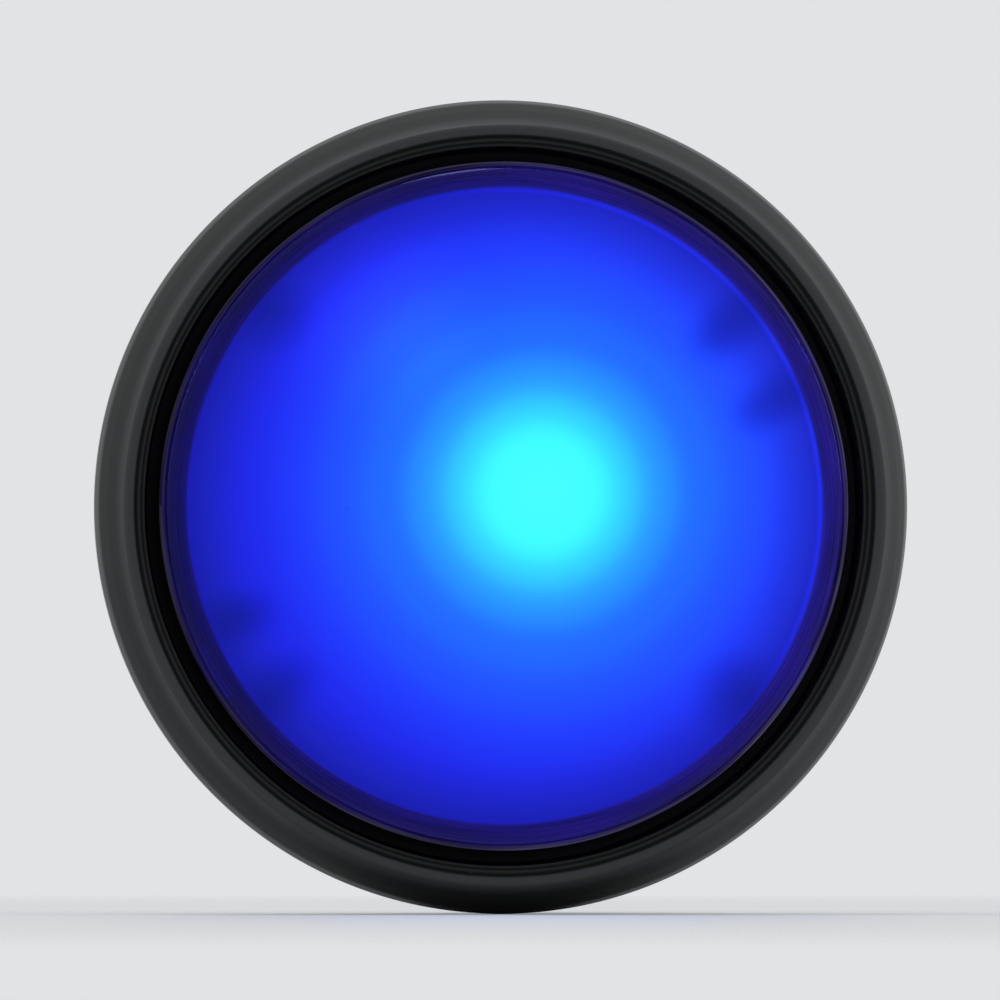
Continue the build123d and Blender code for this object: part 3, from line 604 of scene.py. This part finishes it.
# Place, spread and depth of each painted shadow; the last one is a patch painted lighter. Red
# and green are shaded more deeply than blue.
HOOK_SHADOWS = [
    (34.0, 13.4, 4.8, 0.60), (30.4, 11.5, 4.4, 0.68), (28.2, 22.9, 5.3, 0.60),
    (25.3, 20.4, 4.6, 0.68), (-33.6, -13.9, 5.0, 0.60), (-30.3, -12.9, 4.3, 0.74),
    (-28.6, -23.4, 5.6, 0.62), (-25.6, -20.7, 4.6, 0.76), (28.6, -22.9, 7.4, 0.58),
    (-28.2, 23.4, 6.8, 0.66), (-15.5, 23.5, 16.0, 1.28)]
DEEPER_POWER = 2.0
hooked = None
for shadow_x, shadow_z, spread, depth in HOOK_SHADOWS:
    soft = add_node(opal_tree, "ShaderNodeGroup", node_tree=hook_shadow, sockets={
        "Centre": (shadow_x * MM, 0.0, shadow_z * MM), "Spread": spread * MM, "Depth": depth})
    one = soft.outputs["Shade"]
    hooked = one if hooked is None else maths(opal_tree, "MULTIPLY", hooked, one)
deeper = maths(opal_tree, "POWER", hooked, DEEPER_POWER)
bluer = add_node(opal_tree, "ShaderNodeCombineXYZ", {"X": deeper, "Y": deeper, "Z": hooked})
shadowed = vector_maths(opal_tree, "MULTIPLY", glow, bluer.outputs["Vector"])
# The painted light fades toward the rim, is dimmed by specks of dust, gathers in a painted
# highlight line along the rim's upper right and ends at a painted dark margin of shade under the
# lens's shoulder.
LIT_RADIUS = 38.5
RIM_FADE = ((0.80, 1.0), (1.0, 0.62))
SPECK_SCALE = 110.0
SPECK_FADE = ((0.012, 0.03), (0.55, 1.0))
EDGE_HIGHLIGHT = [(0.982, (0.0, 0.0, 0.0)), (0.992, (1.0, 1.0, 1.0)), (0.998, (0.4, 0.4, 0.4))]
LINE_SIDE = (0.85, 0.0, 0.53)
LINE_FADE = ((2.0 * MM, 34.0 * MM), (0.0, 0.6))
MARGIN_SHADE = ((0.998, 1.004), (1.0, 0.16))
opal_place = object_place(opal_tree)
lit_reach = distance_from(opal_tree, (0, 0), LIT_RADIUS)
speck_cell = add_node(opal_tree, "ShaderNodeTexVoronoi", {
    "Vector": opal_place, "Scale": SPECK_SCALE})
rim_shade_and_dust = maths(opal_tree, "MULTIPLY", span(opal_tree, lit_reach, *RIM_FADE, smooth=True),
               span(opal_tree, speck_cell.outputs["Distance"], *SPECK_FADE))
line_side = vector_maths(opal_tree, "DOT_PRODUCT", opal_place, LINE_SIDE, output="Value")
painted_line_gain = maths(opal_tree, "MULTIPLY_ADD", ramp(opal_tree, lit_reach, EDGE_HIGHLIGHT),
                  span(opal_tree, line_side, *LINE_FADE, smooth=True), 1.0)
with_painted_line = maths(opal_tree, "MULTIPLY", rim_shade_and_dust, painted_line_gain)
margin_shaded = maths(opal_tree, "MULTIPLY", with_painted_line, span(opal_tree, lit_reach, *MARGIN_SHADE))
lit = add_node(opal_tree, "ShaderNodeVectorMath", {0: shadowed, "Scale": margin_shaded},
               operation="SCALE")
feed(opal_tree, opal_shader, {
    "Base Color": (0.02, 0.03, 0.12, 1), "Roughness": 0.6,
    "Emission Color": lit.outputs["Vector"], "Emission Strength": GLOW_STRENGTH})
diffuser.data.materials.append(opal)
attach(diffuser, "dome")
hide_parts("diffuser")

# Plunger carrier: a white moulded dish on a hollow stem, snapped into the lens. Its keys
# run in the neck and its foot works the switch.
carrier_white = moulded_plastic("carrier_white", (0.55, 0.56, 0.60), 0.45, dust=0.1)
dress({"plunger_carrier": carrier_white})

# Return spring: drawn steel wire, coiled round the stem between the guide shelf in the
# neck and the carrier, which it pushes back after each press.
SPRING_LOW = -13.92
SPRING_HIGH = 6.48
SPRING_MEAN = 9.4
SPRING_WIRE = 0.9
SPRING_TURNS = 7.0
COIL_STEPS = 48
WIRE_SIDES = 12
METAL_DIM = 0.78
spring_length = SPRING_HIGH - SPRING_LOW
SPRING_SIZES = {
    "Turns": SPRING_TURNS, "Radius": SPRING_MEAN * MM,
    "Length": (spring_length - SPRING_WIRE) * MM, "Wire Radius": SPRING_WIRE / 2 * MM}


def bright_metal(name, colour, roughness, scale):
    """A drawn or stamped metal with a fine change of tint and polish."""
    material, tree, shader = new_finish(name)
    lines = add_node(tree, "ShaderNodeTexNoise", {
        "Vector": object_place(tree), "Scale": scale, "Detail": 5.0}).outputs["Fac"]
    dim = [share * METAL_DIM for share in colour]
    feed(tree, shader, {
        "Metallic": 1.0, "Base Color": ramp(tree, lines, [(0.3, dim), (0.7, colour)]),
        "Roughness": span(tree, lines, (0.0, 1.0), (roughness - 0.08, roughness + 0.12))})
    return material


spring_steel = bright_metal("spring_steel", (0.62, 0.62, 0.63), 0.3, 900.0)
spring_tree, spring_in, spring_out = geometry_tree("return_spring", SPRING_SIZES)
spring_section = add_node(spring_tree, "GeometryNodeCurvePrimitiveCircle", {
    "Resolution": WIRE_SIDES, "Radius": spring_in.outputs["Wire Radius"]})
spring_coil = sweep_helix(spring_tree, spring_in, spring_section.outputs["Curve"],
                          COIL_STEPS, SPRING_LOW + SPRING_WIRE / 2)
finish_tree(spring_tree, spring_coil, spring_steel, spring_out, smooth=True)
spring = nodes_piece("coil_spring", spring_tree, SPRING_SIZES)
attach(spring, "bezel")
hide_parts("return_spring")
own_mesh(spring)

# Switch holder: a black twist-lock moulding that plugs into the neck. It carries the lamp
# post in the middle and the switch plate with its two pegs behind.
holder_black = moulded_plastic("holder_satin_black", (0.016, 0.016, 0.017), 0.5, dust=0.2,
                               grain=1500.0, bump=0.15)
dress({"switch_holder": holder_black})

# Lamp: a wedge base of pale nylon in the post, with a round-nosed light source on two
# tinned leads and two brass strips that end in spades behind the holder.
LED_TINTS = [(0.35, (0.31, 0.55, 0.95)), (0.65, (0.37, 0.62, 1.0))]
LED_LIGHT = [(0.35, (0.13, 0.55, 0.95)), (0.65, (0.16, 0.62, 1.0))]
LED_POLISH = (0.04, 0.12)
LED_STRENGTH = 2.0
lamp_nylon = moulded_plastic("lamp_nylon", (0.62, 0.62, 0.58), 0.5, dust=0.1)
led_clear, led_tree, led_shader = new_finish("led_clear_blue")
led_cloud = add_node(led_tree, "ShaderNodeTexNoise", {
    "Vector": object_place(led_tree), "Scale": 700.0, "Detail": 2.0}).outputs["Fac"]
feed(led_tree, led_shader, {
    "Base Color": ramp(led_tree, led_cloud, LED_TINTS),
    "Roughness": span(led_tree, led_cloud, (0.0, 1.0), LED_POLISH),
    "Emission Color": ramp(led_tree, led_cloud, LED_LIGHT), "Emission Strength": LED_STRENGTH})
lead_tin = bright_metal("lead_tin", (0.66, 0.66, 0.67), 0.3, 1500.0)
terminal_brass = bright_metal("terminal_brass", (0.72, 0.53, 0.24), 0.34, 700.0)
dress({
    "lamp_base": lamp_nylon, "led_emitter": led_clear, "led_leads": lead_tin,
    "lamp_terminal_upper": terminal_brass, "lamp_terminal_lower": terminal_brass})

# Microswitch: a black tray with a dark grey cover, pushed on the holder's two pegs. Its
# red pin rocks a bronze blade between two silver contacts, and three brass spades lead out.
switch_black = moulded_plastic("switch_matt_black", (0.018, 0.018, 0.019), 0.55, dust=0.15,
                               grain=3500.0, bump=0.2)
switch_grey = moulded_plastic("switch_cover_grey", (0.035, 0.036, 0.038), 0.5, dust=0.15,
                              grain=3500.0, bump=0.2)
pin_red = moulded_plastic("pin_red", (0.42, 0.02, 0.018), 0.3, dust=0.1)
blade_bronze = bright_metal("blade_bronze", (0.70, 0.45, 0.22), 0.3, 900.0)
contact_silver = bright_metal("contact_silver", (0.82, 0.81, 0.79), 0.25, 1200.0)
dress({
    "switch_case": switch_black, "switch_cover": switch_grey, "switch_pin": pin_red,
    "snap_blade": blade_bronze, "moving_contact": contact_silver,
    "rest_contact": contact_silver, "work_contact": contact_silver,
    "common_terminal": terminal_brass, "rest_terminal": terminal_brass,
    "work_terminal": terminal_brass})

# Floor: a pale round sheet that the flange's rim stands on. It fades out with distance
# into the pale surroundings, so that no edge shows from any side, and the polished lens
# mirrors the surroundings in its place. Its sizes are in metres.
FLOOR_RADIUS = 2.4
FLOOR_FADE = (0.12, 0.9)
floor_mesh = bpy.data.meshes.new("floor")
floor_made = bmesh.new()
bmesh.ops.create_circle(floor_made, cap_ends=True, segments=96, radius=FLOOR_RADIUS)
bmesh.ops.translate(floor_made, verts=floor_made.verts, vec=(0, 0, -FLANGE_RADIUS * MM))
floor_made.to_mesh(floor_mesh)
floor_made.free()
floor = bpy.data.objects.new("floor", floor_mesh)
scene.collection.objects.link(floor)
pale_sheet, sheet_tree, sheet_shader = new_finish("pale_sheet")
feed(sheet_tree, sheet_shader, {"Base Color": (0.55, 0.56, 0.57, 1), "Roughness": 0.55})
sheet_far = vector_maths(sheet_tree, "LENGTH", object_place(sheet_tree), output="Value")
sheet_path = add_node(sheet_tree, "ShaderNodeLightPath")
sheet_gone = maths(sheet_tree, "MAXIMUM", span(sheet_tree, sheet_far, FLOOR_FADE, smooth=True),
                   sheet_path.outputs["Is Singular Ray"])
sheet_clear = add_node(sheet_tree, "ShaderNodeBsdfTransparent")
sheet_mix = add_node(sheet_tree, "ShaderNodeMixShader", {
    "Fac": sheet_gone, 1: sheet_shader.outputs["BSDF"], 2: sheet_clear.outputs["BSDF"]})
feed(sheet_tree, sheet_tree.nodes["Material Output"], {"Surface": sheet_mix.outputs["Shader"]})
floor_mesh.materials.append(pale_sheet)

# Surroundings: an even pale room, which is the background, what the gloss reflects and
# most of the light.
world = bpy.data.worlds.new("pale_room")
scene.world = world
world.use_nodes = True
feed(world.node_tree, world.node_tree.nodes["Background"], {
    "Color": (0.80, 0.81, 0.82, 1), "Strength": 0.95})

# Studio lamps: a large soft panel above and a weaker one at each side, with their places
# and sizes in metres and their power in watts.
for panel_name, spot, size, power in (
        ("top_panel", (-0.1, 0.1, 1.0), 0.5, 4.0),
        ("left_panel", (-0.95, 0.12, 0.3), 0.45, 1.6),
        ("right_panel", (0.95, 0.12, 0.3), 0.45, 1.6)):
    panel_data = bpy.data.lights.new(panel_name, "AREA")
    panel_data.size = size
    panel_data.energy = power
    panel = bpy.data.objects.new(panel_name, panel_data)
    panel.location = spot
    panel.rotation_euler = (-Vector(spot)).to_track_quat("-Z", "Y").to_euler()
    scene.collection.objects.link(panel)

# Camera: nearly face-on, a little to the left of the press axis and a little below it. It
# stands far off with a long lens, so that the front rings keep their true radii.
CAMERA_DISTANCE = 2.5
CAMERA_LEFT = math.radians(3.0)
CAMERA_DOWN = math.radians(0.95)
AIM_HEIGHT = 0.9
LENS_PER_METRE = 204.9 / 0.7
aim = Vector((0.0, 0.0, AIM_HEIGHT * MM))
camera_place = aim + CAMERA_DISTANCE * Vector((
    -math.sin(CAMERA_LEFT) * math.cos(CAMERA_DOWN),
    -math.cos(CAMERA_LEFT) * math.cos(CAMERA_DOWN),
    -math.sin(CAMERA_DOWN)))
camera_data = bpy.data.cameras.new("camera")
camera_data.lens = LENS_PER_METRE * CAMERA_DISTANCE
camera_data.sensor_width = 36.0
camera = bpy.data.objects.new("camera", camera_data)
camera.location = camera_place
camera.rotation_euler = (aim - camera_place).to_track_quat("-Z", "Y").to_euler()
scene.collection.objects.link(camera)
scene.camera = camera
